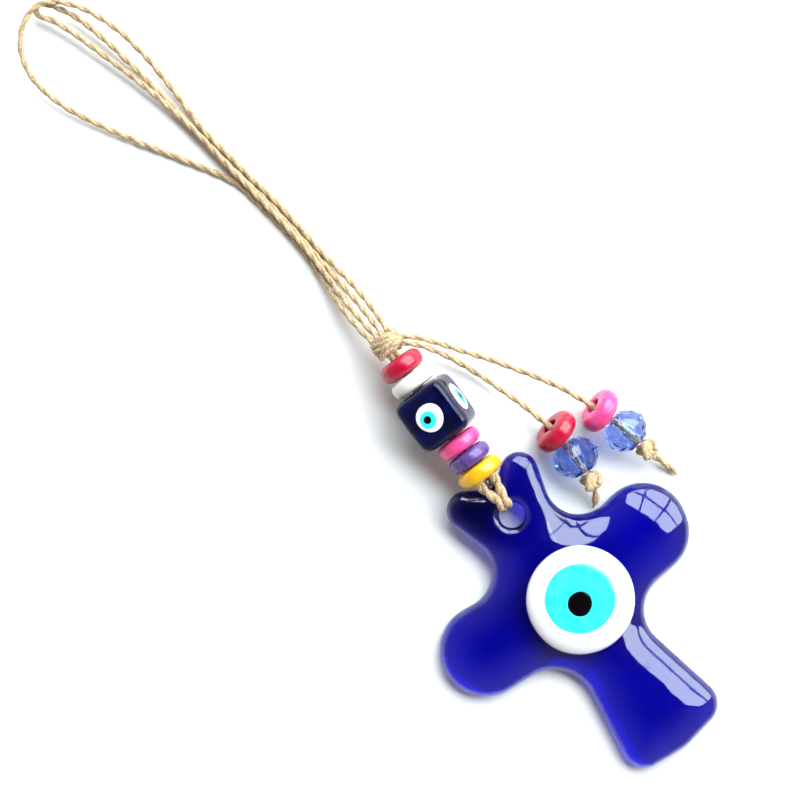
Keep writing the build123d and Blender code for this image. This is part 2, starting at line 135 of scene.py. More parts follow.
def join(name, pieces):
    """One piece from several meshes, with their UV maps kept."""
    bpy.ops.object.select_all(action="DESELECT")
    for piece in pieces:
        piece.select_set(True)
    bpy.context.view_layer.objects.active = pieces[0]
    bpy.ops.object.join()
    pieces[0].name = name
    pieces[0].data.name = name
    return pieces[0]


def settle(piece, body, slot, material, *replaced):
    """What every piece gets: its body, its material and the CAD nodes it stands for. The slot is not
    used.
    """
    piece.data.materials.clear()
    piece.data.materials.append(material)
    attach(piece, body)
    if replaced:
        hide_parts(*replaced)
    return piece


def middle(node):
    low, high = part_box(node)
    return (np.array(low) + np.array(high)) / 2


def span(node):
    low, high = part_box(node)
    return np.array(high) - np.array(low)


JOINT = {joint["name"]: joint for joint in frame["joints"]}


# ---- cords: routes, smooth lines and twine ------------------------------------------------------
TWINE = 1.6 * MM                 # diameter
PLY_R = 0.53 * MM                # each of the twine's two plies
PLY_OUT = 0.31 * MM              # from the twine's middle to a ply's middle
TWIST = 8.4 * MM                 # length of one full turn of the plies

LOOP_OUTER = np.array([
    (-3.69, 86.75, 8.5),
    (-4.3, 91, 7.2), (-4.8, 97, 4.9), (-4.4, 104, 2.6), (-3.6, 113, 0.92), (-4.3, 123, 0.86),
    (-5.6, 133, 0.86), (-7.1, 141.8, 0.86), (-11.8, 150, 0.9), (-18.2, 160, 1.0),
    (-24.6, 170.5, 1.3), (-30.4, 181, 2.0), (-33.8, 190, 3.0), (-34.2, 197.5, 4.0),
    (-31.9, 203.6, 4.8), (-27.0, 208.4, 5.4), (-20.8, 209.8, 5.6), (-15.2, 205.8, 5.3),
    (-10.6, 198.6, 4.6), (-7.9, 190, 3.8), (-6.6, 181, 2.9), (-6.2, 172, 1.8), (-6.3, 164, 1.1),
    (-6.1, 157, 0.9),
    (-4.85, 149, 0.86), (-3.4, 140, 0.86), (-1.9, 131, 0.86), (-0.75, 121, 0.86),
    (-0.1, 112, 0.92), (1.1, 104, 2.4), (1.75, 97, 4.7), (1.6, 91, 7.1),
    (1.29, 86.75, 8.5)]) * MM
LOOP_INNER = np.array([
    (-2.03, 86.75, 8.5),
    (-2.3, 91, 7.3), (-2.95, 97, 5.1), (-2.9, 104, 3.5), (-2.75, 112, 2.55), (-3.35, 121.5, 2.4),
    (-4.55, 132, 2.4), (-6.0, 142, 2.4), (-7.0, 151, 2.55), (-8.2, 160, 2.6), (-9.9, 169, 2.75),
    (-12.2, 178, 3.0), (-14.8, 187, 3.3), (-17.6, 196, 3.55), (-20.6, 204.2, 3.6),
    (-22.9, 206.9, 3.55), (-23.0, 209.4, 3.5), (-20.8, 209.9, 3.5), (-18.7, 207.6, 3.55),
    (-16.2, 203.6, 3.6), (-14.2, 198, 3.3), (-12.3, 190, 2.8), (-10.9, 182, 2.1),
    (-9.9, 174.5, 1.4), (-8.8, 166.5, 0.95), (-8.0, 158.5, 0.86), (-6.9, 150.5, 0.86),
    (-5.4, 142, 0.86), (-3.75, 132, 0.86), (-2.5, 121.5, 0.86), (-1.9, 112.5, 0.9),
    (-1.0, 104.5, 2.3), (-0.55, 97, 4.7), (-0.35, 91, 7.1), (-0.37, 86.75, 8.5)]) * MM
TAIL_A = np.array([
    (3.0, 81.21, 8.5),
    (5.9, 78.5, 7.6), (8.7, 74.3, 5.6), (11.6, 68.8, 3.8), (14.1, 62.5, 3.0), (16.2, 56.3, 4.0),
    (18.3, 49.9, 6.45), (21.7, 36.3, 6.45), (20.86, 26.08, 6.45)]) * MM
TAIL_B = np.array([
    (3.73, 82.8, 8.5),
    (5.9, 81.0, 8.1), (8.7, 77.9, 6.9), (12.9, 72.2, 4.4), (17.3, 66.3, 2.9), (21.6, 60.0, 2.7),
    (25.6, 53.6, 4.0), (29.36, 47.0, 6.45), (34.6, 34.0, 6.45), (36.73, 23.97, 6.45)]) * MM


def unit(vector):
    vector = np.asarray(vector, dtype=float)
    return vector / np.linalg.norm(vector)


def smooth_line(points, step=0.35 * MM):
    """Evenly spaced points of the open NURBS spline that has the route's points as controls."""
    data = bpy.data.curves.new("route", "CURVE")
    data.dimensions = "3D"
    spline = data.splines.new("NURBS")
    spline.points.add(len(points) - 1)
    spline.points.foreach_set("co", np.hstack([points, np.ones((len(points), 1))]).ravel())
    spline.order_u = 3
    spline.use_endpoint_u = True
    spline.resolution_u = 16
    route = bpy.data.objects.new("route", data)
    bpy.context.collection.objects.link(route)
    mesh = bpy.data.meshes.new_from_object(route)
    line = np.zeros(3 * len(mesh.vertices))
    mesh.vertices.foreach_get("co", line)
    bpy.data.objects.remove(route)
    bpy.data.curves.remove(data)
    bpy.data.meshes.remove(mesh)
    return evenly(line.reshape(-1, 3), step)


def evenly(line, step):
    """The same line with its points a step apart."""
    run = np.concatenate([[0], np.cumsum(np.linalg.norm(np.diff(line, axis=0), axis=1))])
    keep = np.concatenate([[True], np.diff(run) > 1e-9])
    run, line = run[keep], line[keep]
    places = np.linspace(0, run[-1], max(int(run[-1] / step), 3) + 1)
    return np.stack([np.interp(places, run, line[:, axis]) for axis in range(3)], 1)


def frames_along(line):
    """Tangent and two sideways directions at each point, carried along with no twist."""
    ahead = np.gradient(line, axis=0)
    ahead /= np.linalg.norm(ahead, axis=1, keepdims=True)
    side = np.zeros_like(ahead)
    start = np.cross(ahead[0], (0.0, 0.0, 1.0))
    if np.linalg.norm(start) < 0.1:
        start = np.cross(ahead[0], (1.0, 0.0, 0.0))
    side[0] = start / np.linalg.norm(start)
    for k in range(1, len(line)):
        carried = side[k - 1] - ahead[k] * np.dot(side[k - 1], ahead[k])
        side[k] = carried / np.linalg.norm(carried)
    return ahead, side, np.cross(ahead, side)


def ply(line, turn, thin, places=10, out=PLY_OUT, radius=PLY_R, twist=TWIST):
    """One ply of the twine: a tube whose middle winds round the line once every twist."""
    _, side, up = frames_along(line)
    run = np.concatenate([[0], np.cumsum(np.linalg.norm(np.diff(line, axis=0), axis=1))])
    angle = turn + TAU * run / twist
    wander = (1 + 0.09 * np.sin(run / (2.3 * MM) + turn * 3)
              + 0.07 * np.sin(run / (5.1 * MM) + turn)
              + 0.04 * np.sin(run / (0.7 * MM) + 2 * turn))
    centre = line + (out * thin)[:, None] * (np.cos(angle)[:, None] * side
                                             + np.sin(angle)[:, None] * up)
    _, side, up = frames_along(centre)
    around = TAU * np.arange(places) / places + turn
    size = (radius * wander * thin)[:, None, None]
    return centre[:, None] + size * (np.cos(around)[None, :, None] * side[:, None]
                                     + np.sin(around)[None, :, None] * up[:, None])


def hairs(line, count, reach):
    """Loose fibres: thin three-sided slivers that leave the twine and curl away from it."""
    ahead, side, up = frames_along(line)
    found = []
    spots = RNG.integers(2, len(line) - 3, count)
    for spot in spots:
        around = RNG.uniform(0, TAU)
        out = math.cos(around) * side[spot] + math.sin(around) * up[spot]
        lean = ahead[spot] * RNG.choice((-1, 1)) * RNG.uniform(0.5, 1.4)
        curl = np.cross(out, lean) * RNG.uniform(-0.8, 0.8)
        length = reach * RNG.uniform(0.35, 1.0)
        t = np.linspace(0, 1, 5)[:, None]
        spine = line[spot] + out * TWINE * 0.42 + length * (
            t * (out * 0.55 + lean) * 0.8 + t ** 2 * curl)
        spine[:, 2] = np.maximum(spine[:, 2], 0.06 * MM)
        width = 0.045 * MM * (1 - 0.6 * t)
        ring = TAU * np.arange(3) / 3
        flat = np.cross(out, lean)
        flat /= np.linalg.norm(flat)
        found.append(spine[:, None] + width[:, None] * (
            np.cos(ring)[None, :, None] * out + np.sin(ring)[None, :, None] * flat))
    return found


def round_ended(line, ends):
    """The line with half a twine's width more, straight on, at each end that is asked for."""
    reach = np.linspace(1, 0, 6)[:-1, None] * TWINE / 2
    before = line[0] + reach * unit(line[0] - line[1])
    after = line[-1] + reach[::-1] * unit(line[-1] - line[-2])
    return np.vstack([before] * ends[0] + [line] + [after] * ends[1])


def twine(name, line, fuzz=0.9, reach=1.8 * MM, taper=(False, False), swell=1.0,
          balls=(False, False)):
    """Two-ply twine along a line, with loose fibres: fuzz is their number per millimetre.

    taper thins an end that is frayed; balls rounds off an end that a hinge turns about.
    """
    line = round_ended(line, balls)
    length = np.linalg.norm(np.diff(line, axis=0), axis=1).sum()
    run = np.linspace(0, length, len(line))
    thin = np.ones(len(line)) * swell
    if taper[0]:
        thin = np.minimum(thin, 0.35 + run / (2.5 * MM))
    if taper[1]:
        thin = np.minimum(thin, 0.35 + (length - run) / (2.5 * MM))
    for ball, far in zip(balls, (run, length - run)):
        if ball:
            share = np.clip(far / (TWINE / 2), 0, 1)
            thin = thin * np.sqrt(np.maximum(1 - (1 - share) ** 2, 0.02))
    parts = [grid_mesh("ply", ply(line, turn, thin), caps=True) for turn in (0.0, math.pi)]
    parts += [grid_mesh("fibre", hair, caps=True)
              for hair in hairs(line, int(length / MM * fuzz), reach)]
    return join(name, parts)


# ---- finishes -----------------------------------------------------------------------------------

class Signal:
    """A value that varies over a surface; arithmetic on it adds Math nodes to its finish."""

    def __init__(self, finish, socket):
        self.finish = finish
        self.socket = socket

    def _maths(self, operation, *values):
        node = self.finish.add("ShaderNodeMath", {"operation": operation})
        for socket, value in zip(node.inputs, values):
            self.finish.feed(socket, value)
        return Signal(self.finish, node.outputs[0])

    def __add__(self, other):
        return self._maths("ADD", self, other)

    def __sub__(self, other):
        return self._maths("SUBTRACT", self, other)

    def __rsub__(self, other):
        return self._maths("SUBTRACT", other, self)

    def __mul__(self, other):
        return self._maths("MULTIPLY", self, other)

    __radd__ = __add__
    __rmul__ = __mul__


class Finish:
    """One material, with a Principled shader; add() puts in any other node."""

    def __init__(self, name, **constants):
        self.material = bpy.data.materials.new(name)
        self.material.use_nodes = True
        self.tree = self.material.node_tree
        self.tree.nodes.clear()
        self.out = self.add("ShaderNodeOutputMaterial")
        self.shader = self.add("ShaderNodeBsdfPrincipled")
        self.tree.links.new(self.shader.outputs[0], self.out.inputs["Surface"])
        for socket, value in constants.items():
            self.shader.inputs[socket.replace("_", " ")].default_value = value
        self.place = self.add("ShaderNodeTexCoord").outputs["Object"]
        self.uv = self.add("ShaderNodeTexCoord").outputs["UV"]

    def add(self, kind, settings=None, sockets=None):
        """A node of this kind: its settings first, then the values or links of its sockets."""
        node = self.tree.nodes.new(kind)
        for key, value in (settings or {}).items():
            setattr(node, key, value)
        for key, value in (sockets or {}).items():
            self.feed(node.inputs[key], value)
        return node

    def feed(self, socket, value):
        if isinstance(value, Signal):
            value = value.socket
        if isinstance(value, bpy.types.NodeSocket):
            self.tree.links.new(value, socket)
        else:
            socket.default_value = value

    def noise(self, scale, detail=3.0, roughness=0.55, at=None, stretch=None):
        """Noise from 0 to 1, a cell being about one over the scale, in metres."""
        at = at or self.place
        if stretch:
            at = self.add("ShaderNodeMapping", None,
                          {"Vector": at, "Scale": stretch}).outputs[0]
        node = self.add("ShaderNodeTexNoise", None, {
            "Vector": at, "Scale": scale, "Detail": detail, "Roughness": roughness})
        return Signal(self, node.outputs["Fac"])

    def band(self, value, low, high, start=0.0, end=1.0):
        """The value's stretch from low to high, spread smoothly from start to end."""
        node = self.add("ShaderNodeMapRange", {"interpolation_type": "SMOOTHSTEP"}, {
            "Value": value, "From Min": low, "From Max": high, "To Min": start, "To Max": end})
        return Signal(self, node.outputs[0])

    def blend(self, share, first, second):
        """Colour between two others, by a share from 0 to 1."""
        node = self.add("ShaderNodeMix", {"data_type": "RGBA"})
        self.feed(node.inputs[0], share)
        self.feed(node.inputs[6], first)
        self.feed(node.inputs[7], second)
        return node.outputs[2]

    def colour(self, value):
        self.feed(self.shader.inputs["Base Color"], value)

    def rough(self, value):
        self.feed(self.shader.inputs["Roughness"], value)

    def bump(self, height, distance, strength=1.0):
        node = self.add("ShaderNodeBump", None, {
            "Height": height, "Distance": distance, "Strength": strength})
        self.feed(self.shader.inputs["Normal"], node.outputs[0])

    def absorb(self, colour, density):
        volume = self.add("ShaderNodeVolumeAbsorption", None, {
            "Color": colour, "Density": density})
        self.tree.links.new(volume.outputs[0], self.out.inputs["Volume"])


LIGHT_LEVEL = 1.25           # how bright the window makes a white surface


def seen(red, green, blue):
    """Colour that looks like red, green and blue out of 255 in the window's light."""
    parts = np.array((red, green, blue)) / 255
    linear = np.where(parts <= 0.04045, parts / 12.92, ((parts + 0.055) / 1.055) ** 2.4)
    return (*(linear / LIGHT_LEVEL).tolist(), 1.0)


def cobalt_finish():
    """Thick cast cobalt glass, a dark saturated blue in the middle and bright where it is thin. Its
    base colour is darker over the tab and darkest on the left lobe, partly for darker glass and partly
    as painted shade of the beads, with random streaks of darker glass elsewhere.
    """
    finish = Finish("cobalt_glass", Transmission_Weight=1.0, IOR=1.52, Coat_Weight=0.3,
                    Coat_IOR=1.5)
    split = finish.add("ShaderNodeSeparateXYZ", None, {"Vector": finish.place})
    # Painted shade: the tab's base colour is darkened, most of all on the left lobe, partly for darker
    # glass and partly for the beads' shadow there; the streaks are random darker glass.
    tab = finish.band(split.outputs["Y"], 0.016, 0.034)
    left = finish.band(split.outputs["X"], 0.012, -0.010)
    streaks = finish.band(finish.noise(45.0, 3.0), 0.45, 0.75, 0.0, 0.45)
    deep_glass_and_shade = tab * (0.35 + left * 0.6) + (1.0 - tab) * streaks * 0.5
    finish.colour(finish.blend(deep_glass_and_shade, (0.92, 0.95, 1.0, 1.0), (0.16, 0.18, 0.30, 1.0)))
    finish.absorb((0.04, 0.0, 0.949, 1.0), 900.0)
    swell = finish.noise(70.0, 2.0)
    pits = finish.noise(900.0, 2.0)
    finish.bump(swell * 1.0 + pits * 0.04, 0.0007, 0.35)
    finish.rough(finish.band(finish.noise(260.0), 0.35, 0.75, 0.02, 0.07))
    return finish.material


def melted_finish(name, colour, deeper, rough=0.09, shine=1.5):
    """Opaque glass melted on in drops: nearly even, with a soft swell and tiny pits."""
    finish = Finish(name, IOR=shine)
    finish.colour(finish.blend(finish.band(finish.noise(320.0, 4.0), 0.3, 0.75), colour, deeper))
    finish.bump(finish.noise(160.0, 2.0) + finish.noise(2200.0, 2.0) * 0.05, 0.0003, 0.3)
    finish.rough(finish.band(finish.noise(600.0), 0.3, 0.8, rough, rough * 2.2))
    return finish.material


def lacquer_finish(name, colour, shade, mottle=0.5, scale=420.0):
    """Lacquer on a turned bead: satin gloss, a mottle of two shades and fine brush lines."""
    finish = Finish(name, IOR=1.47, Coat_Weight=0.30, Coat_Roughness=0.18)
    patches = finish.band(finish.noise(scale, 4.0, 0.6), 0.5 - mottle * 0.35, 0.5 + mottle * 0.5)
    finish.colour(finish.blend(patches, colour, shade))
    finish.bump(finish.noise(700.0, 3.0) + finish.noise(3600.0, 2.0) * 0.15, 0.00012, 0.35)
    finish.rough(finish.band(finish.noise(500.0), 0.3, 0.8, 0.24, 0.40))
    return finish.material


def crystal_finish():
    """Clear light-blue cut glass."""
    finish = Finish("blue_crystal", Transmission_Weight=1.0, IOR=1.54, Roughness=0.015)
    finish.shader.inputs["Base Color"].default_value = (0.97, 0.98, 1.0, 1.0)
    finish.absorb((0.12, 0.42, 1.0, 1.0), 110.0)
    return finish.material


def twine_finish():
    """Hemp: streaks along the plies in three tans, dull, with a slight sheen."""
    finish = Finish("twine", IOR=1.4, Sheen_Weight=0.25, Sheen_Roughness=0.5)
    streaks = finish.noise(1.0, 3.0, 0.6, finish.uv, (2200.0, 9.0, 1.0))
    patches = finish.noise(420.0, 3.0)
    fibres = finish.noise(1.0, 2.0, 0.7, finish.uv, (700.0, 40.0, 1.0))
    base = finish.blend(finish.band(streaks, 0.38, 0.62), seen(238, 212, 168), seen(176, 142, 98))
    base = finish.blend(finish.band(patches, 0.5, 0.8, 0.0, 0.55), base, seen(158, 114, 68))
    finish.colour(base)
    finish.bump(streaks + fibres, 0.00018, 0.8)
    finish.rough(finish.band(fibres, 0.2, 0.8, 0.75, 0.95))
    return finish.material


COBALT = cobalt_finish()
WHITE_GLASS = melted_finish("white_glass", seen(255, 255, 255), seen(250, 250, 255))
TURQUOISE = melted_finish("turquoise_glass", seen(70, 250, 255), seen(40, 236, 252))
BLACK_GLASS = melted_finish("black_glass", seen(4, 2, 6), seen(8, 6, 12), 0.06)
NAVY = melted_finish("navy_glass", seen(1, 4, 36), seen(4, 12, 74), 0.07, 1.4)
RED = lacquer_finish("red_lacquer", seen(172, 0, 40), seen(208, 8, 62), 0.6)
WHITE = lacquer_finish("white_lacquer", seen(255, 252, 244), seen(244, 238, 228), 0.5)
PINK = lacquer_finish("pink_lacquer", seen(252, 52, 130), seen(255, 104, 176), 0.7)
PURPLE = lacquer_finish("purple_lacquer", seen(64, 36, 112), seen(128, 92, 172), 1.0, 520.0)
YELLOW = lacquer_finish("yellow_lacquer", seen(255, 200, 4), seen(248, 160, 8), 0.6)
CRYSTAL = crystal_finish()
HEMP = twine_finish()


# ---- free cords: two hanging loops and two tails ------------------------------------------------

def make_cords():
    for name, route in (("outer", LOOP_OUTER), ("inner", LOOP_INNER)):
        line = smooth_line(route)
        loop = settle(twine(f"hanging_twine_{name}", line, balls=(True, True)), "loops", "twine",
                      HEMP, f"hanging_loop_{name}")
    for letter, route in (("a", TAIL_A), ("b", TAIL_B)):
        line = smooth_line(route)
        tail = settle(twine(f"tail_twine_{letter}", line, balls=(True, False)),
                      f"tail_{letter}", "twine", HEMP, f"tail_cord_{letter}")
        on_it = [make_end_knot(letter), make_tail_bead(letter), make_crystal(letter)]


def turned(points, axis, x_dir, origin):
    """Points whose Z is laid along an axis and whose X is laid along x_dir, about an origin."""
    z = unit(axis)
    x = np.asarray(x_dir, dtype=float)
    x = unit(x - z * np.dot(x, z))
    y = np.cross(z, x)
    return np.asarray(points) @ np.stack([x, y, z]) + origin


# ---- knots --------------------------------------------------------------------------------------


def overhand(size, stretch):
    """A tight overhand knot: a trefoil, with its long way along Z."""
    t = np.linspace(0, TAU, 240, endpoint=False)
    return np.stack([
        size * (np.sin(t) + 2 * np.sin(2 * t)), size * (np.cos(t) - 2 * np.cos(2 * t)),
        -size * stretch * np.sin(3 * t)], 1)


def closed_ply(line, turn, swell):
    """A ply along a closed line, its turns rounded to a whole number so that its ends meet."""
    ahead = np.roll(line, -1, 0) - np.roll(line, 1, 0)
    ahead /= np.linalg.norm(ahead, axis=1, keepdims=True)
    length = np.linalg.norm(np.roll(line, -1, 0) - line, axis=1).sum()
    run = np.linspace(0, 1, len(line), endpoint=False)
    out = line - line.mean(0)
    side = out - ahead * (out * ahead).sum(1, keepdims=True)
    side /= np.linalg.norm(side, axis=1, keepdims=True)
    up = np.cross(ahead, side)
    angle = turn + TAU * run * max(round(length / TWIST), 1)
    centre = line + swell * PLY_OUT * (np.cos(angle)[:, None] * side + np.sin(angle)[:, None] * up)
    around = TAU * np.arange(10) / 10
    return centre[:, None] + swell * PLY_R * (np.cos(around)[None, :, None] * side[:, None]
                                              + np.sin(around)[None, :, None] * up[:, None])


def stub(start, end):
    """A short straight length of twine."""
    return twine("stub", evenly(np.array([start, end]), 0.3 * MM), 0.6, 1.2 * MM)


def make_main_knot():
    """Three close wraps of twine round the strands, one turn laid across them, and the strands'
    first millimetres, from inside the wraps to where the free cords start."""
    centre = middle("main_knot")
    size = span("main_knot") + np.array((0.9, 1.2, 0.9)) * MM
    wrap_r = size[0] / 2 - TWINE * 0.62
    turns = 2.75
    t = np.linspace(0, 1, 300)
    angle = TAU * turns * t + 0.6
    swell = 1 - 0.12 * (2 * t - 1) ** 2
    coil = np.stack([wrap_r * swell * np.cos(angle), wrap_r * swell * np.sin(angle),
                     (t - 0.5) * (size[1] - TWINE * 1.3)], 1)
    cross_t = np.linspace(0, 1, 120)
    sweep_angle = -0.3 - 2.3 * cross_t
    over_r = wrap_r + 0.55 * MM * np.sin(math.pi * cross_t)
    over = np.stack([over_r * np.cos(sweep_angle), over_r * np.sin(sweep_angle),
                     (0.5 - cross_t) * (size[1] - 1.6 * MM)], 1)
    core_t = np.linspace(-1, 1, 24)
    ring = TAU * np.arange(32) / 32
    core_r = (wrap_r - 0.1 * MM) * np.sqrt(np.maximum(1 - np.abs(core_t) ** 5, 0.02))
    core = np.stack([
        core_r[:, None] * np.cos(ring), core_r[:, None] * np.sin(ring),
        np.repeat((core_t * size[1] * 0.44)[:, None], 32, 1)], 2)
    place = centre + np.array((0.25 * MM, 0, 0))
    parts = [twine("wraps", turned(coil, (0, 1, 0), (1, 0, 0), place), 1.2, 1.6 * MM, swell=1.3),
             twine("over", turned(over, (0, 1, 0), (1, 0, 0), place), 1.2, 1.6 * MM, swell=1.2),
             grid_mesh("core", turned(core.reshape(-1, 3), (0, 1, 0), (1, 0, 0),
                                      centre).reshape(core.shape), caps=True)]
    for route in (LOOP_OUTER, LOOP_OUTER[::-1], LOOP_INNER, LOOP_INNER[::-1], TAIL_A, TAIL_B):
        start = route[0]
        inward = centre + 0.35 * (start - centre)
        parts.append(stub(inward, start - unit(start - inward) * (TWINE / 2 + 0.1 * MM)))
    return settle(join("main_knot_wraps", parts), "string", "twine", HEMP, "main_knot")


END_ROUTE = {
    "a": np.array([(20.6, 22.4, 4.6), (20.1, 19.9, 3.4), (18.6, 17.9, 2.2), (17.2, 16.9, 1.7)]),
    "b": np.array([(37.1, 21.6, 4.4), (37.9, 18.6, 3.2), (39.7, 14.9, 1.5), (40.4, 10.6, 1.0)])}


def make_end_knot(letter):
    """A tight overhand knot against the crystal, and the short free end that leaves it."""
    route = {"a": TAIL_A, "b": TAIL_B}[letter]
    down = unit(route[-1] - route[-2])
    centre = route[-1] + down * 2.75 * MM
    shape = turned(overhand(0.70 * MM, 2.1), down, (0, 0, 1), centre)
    knot = [grid_mesh("turns", closed_ply(shape, turn, 1.4), round_u=True)
            for turn in (0, math.pi)]
    core_t = np.linspace(-1, 1, 16)
    ring = TAU * np.arange(20) / 20
    core_r = 1.9 * MM * np.sqrt(np.maximum(1 - core_t ** 2, 0.01))
    core = np.stack([core_r[:, None] * np.cos(ring), core_r[:, None] * np.sin(ring),
                     np.repeat((core_t * 2.2 * MM)[:, None], 20, 1)], 2)
    knot.append(grid_mesh("core", turned(core.reshape(-1, 3), down, (0, 0, 1),
                                         centre).reshape(core.shape), caps=True))
    free = smooth_line(END_ROUTE[letter] * MM)
    knot.append(twine("free", free, 1.0, 1.8 * MM, (False, True), 1.2))
    knot += [grid_mesh("frays", hair, caps=True)
             for hair in hairs(free[-12:], 16, 3.2 * MM)]
    return settle(join(f"end_knot_turns_{letter}", knot), f"tail_{letter}", "twine", HEMP,
                  f"end_knot_{letter}")


# ---- beads --------------------------------------------------------------------------------------
BORE = 2.0 * MM


def rondelle_rings(radius, half, bore, places=96, seed=0):
    """Profile carried round Z: out over one face, round the rim, back over the other, down the bore.

    The rim is a superellipse, and each radius has a slow wave of a few hundredths of a millimetre.
    """
    t = np.linspace(-math.pi / 2, math.pi / 2, 41)
    rim = np.minimum(half * 1.15, radius - bore - 1.2 * MM)
    out = radius - rim + rim * np.cos(t) ** 0.85
    up = half * np.sign(np.sin(t)) * np.abs(np.sin(t)) ** 0.8
    dish = np.linspace(bore + 0.35 * MM, radius - rim, 10)[1:-1]
    lip = np.linspace(0, math.pi / 2, 6)
    lip_r = bore + 0.35 * MM * (1 - np.sin(lip))
    lip_z = half - 0.35 * MM * (1 - np.cos(lip)) - 0.12 * MM
    wall = np.linspace(1, -1, 8)[1:-1] * (half - 0.35 * MM)
    r = np.concatenate([dish, out, dish[::-1], lip_r, np.full(6, bore), lip_r[::-1]])
    face = np.full(len(dish), half)
    z = np.concatenate([-face, up, face, lip_z, wall, -lip_z[::-1]])
    angle = TAU * np.arange(places) / places
    wave = 1 + 0.006 * np.sin(2 * angle + seed) + 0.004 * np.sin(5 * angle + 2 * seed)
    outer = (r > radius - rim)
    reach = r[:, None] * np.where(outer[:, None], wave[None, :], 1.0)
    return np.stack([reach * np.cos(angle), reach * np.sin(angle),
                     np.repeat(z[:, None], places, 1)], 2)


def make_bead(node, body, slot, material, bore=BORE, axis=(0, 1, 0), size=None, centre=None, seed=0):
    extent = span(node)
    radius, half = size or (extent[0] / 2, extent[1] / 2)
    centre = middle(node) if centre is None else centre
    rings = rondelle_rings(radius, half, bore, seed=seed)
    placed = turned(rings.reshape(-1, 3), axis, (1, 0, 0), centre).reshape(rings.shape)
    bead = grid_mesh(f"{node}_turned", placed, round_u=True)
    return settle(bead, body, slot, material, node)


TAIL_BEAD = {"a": ("tail_red_bead", "tail_red", "red_lacquer", RED, 6.2 * MM, 2.5 * MM),
             "b": ("tail_pink_bead", "tail_pink", "pink_lacquer", PINK, 6.0 * MM, 2.5 * MM)}


def make_tail_bead(letter):
    """A bead that leans back from the knot, on the axis it spins about."""
    node, body, slot, material, radius, half = TAIL_BEAD[letter]
    axis = unit(JOINT[f"{body}_spin"]["axis"])
    return make_bead(node, body, slot, material, 2.1 * MM, axis, (radius, half), middle(node), 3)


def make_crystal(letter):
    """Cut rondelle: rows of triangles between rings whose corners are half a step apart."""
    node = f"crystal_{letter}"
    body = f"stone_{letter}"
    joint = JOINT[f"crystal_{letter}_spin"]
    sides = 16
    radius = {"a": 6.3 * MM, "b": 6.05 * MM}[letter]
    half = 4.5 * MM
    bore = 1.0 * MM
    rows = [(bore, -half + 0.5 * MM, 0.5), (0.52, -1.0, 0.5), (0.82, -0.62, 0.0), (1.0, -0.12, 0.5),
            (1.0, 0.12, 0.5), (0.82, 0.62, 0.0), (0.52, 1.0, 0.5), (bore, half - 0.5 * MM, 0.5)]
    rings = []
    for index, (r, z, shift) in enumerate(rows):
        if 0 < index < len(rows) - 1:
            r, z = r * radius, z * half
        angle = TAU * (np.arange(sides) + shift) / sides
        rings.append(np.stack([r * np.cos(angle), r * np.sin(angle), np.full(sides, z)], 1))
    points = turned(np.concatenate(rings), joint["axis"], (1, 0, 0), np.array(joint["pos_m"]))
    faces = []
    for ring in range(len(rows)):
        nxt = (ring + 1) % len(rows)
        a, b = ring * sides, nxt * sides
        shift = rows[nxt][2] - rows[ring][2]
        for k in range(sides):
            k2 = (k + 1) % sides
            if shift == 0:
                faces.append((a + k, a + k2, b + k2, b + k))
            elif shift < 0:
                faces += [(a + k, b + k2, b + k), (a + k, a + k2, b + k2)]
            else:
                faces += [(a + k, a + k2, b + k), (a + k2, b + k2, b + k)]
    mesh = bpy.data.meshes.new(f"{node}_cut")
    mesh.from_pydata(points.tolist(), [], faces)
    mesh.update()
    shape = bmesh.new()
    shape.from_mesh(mesh)
    bmesh.ops.recalc_face_normals(shape, faces=shape.faces)
    shape.to_mesh(mesh)
    shape.free()
    stone = bpy.data.objects.new(f"{node}_cut", mesh)
    bpy.context.collection.objects.link(stone)
    return settle(stone, body, "blue_crystal", CRYSTAL, node)


make_cords()
make_main_knot()
for order, (node, body, slot, material) in enumerate((
        ("yellow_bead", "yellow", "yellow_lacquer", YELLOW),
        ("purple_bead", "purple", "purple_lacquer", PURPLE),
        ("pink_bead", "pink", "pink_lacquer", PINK),
        ("white_bead", "white", "white_lacquer", WHITE),
        ("top_red_bead", "top_red", "red_lacquer", RED))):
    make_bead(node, body, slot, material, seed=order * 1.7)


# ---- cube bead ----------------------------------------------------------------------------------
CUBE_TURN = math.radians(-17)
CUBE_POWER = 7.0             # how square the cube's section is
CUBE_HALF = 7.3 * MM
CUBE_LEN = 15.4 * MM


def cube_reach(angle):
    """Distance from the string to the cube's side: a superellipse with square corners."""
    return CUBE_HALF / (np.abs(np.cos(angle)) ** CUBE_POWER
                        + np.abs(np.sin(angle)) ** CUBE_POWER) ** (1 / CUBE_POWER)


def cube_swell(z):
    """How far the sides stand at a place along the string: full in the middle, round at the ends."""
    share = np.clip(np.abs(z) / (CUBE_LEN / 2), 0, 1)
    return (1 - share ** 9) ** 0.22 * (1 + 0.035 * (1 - share ** 2))


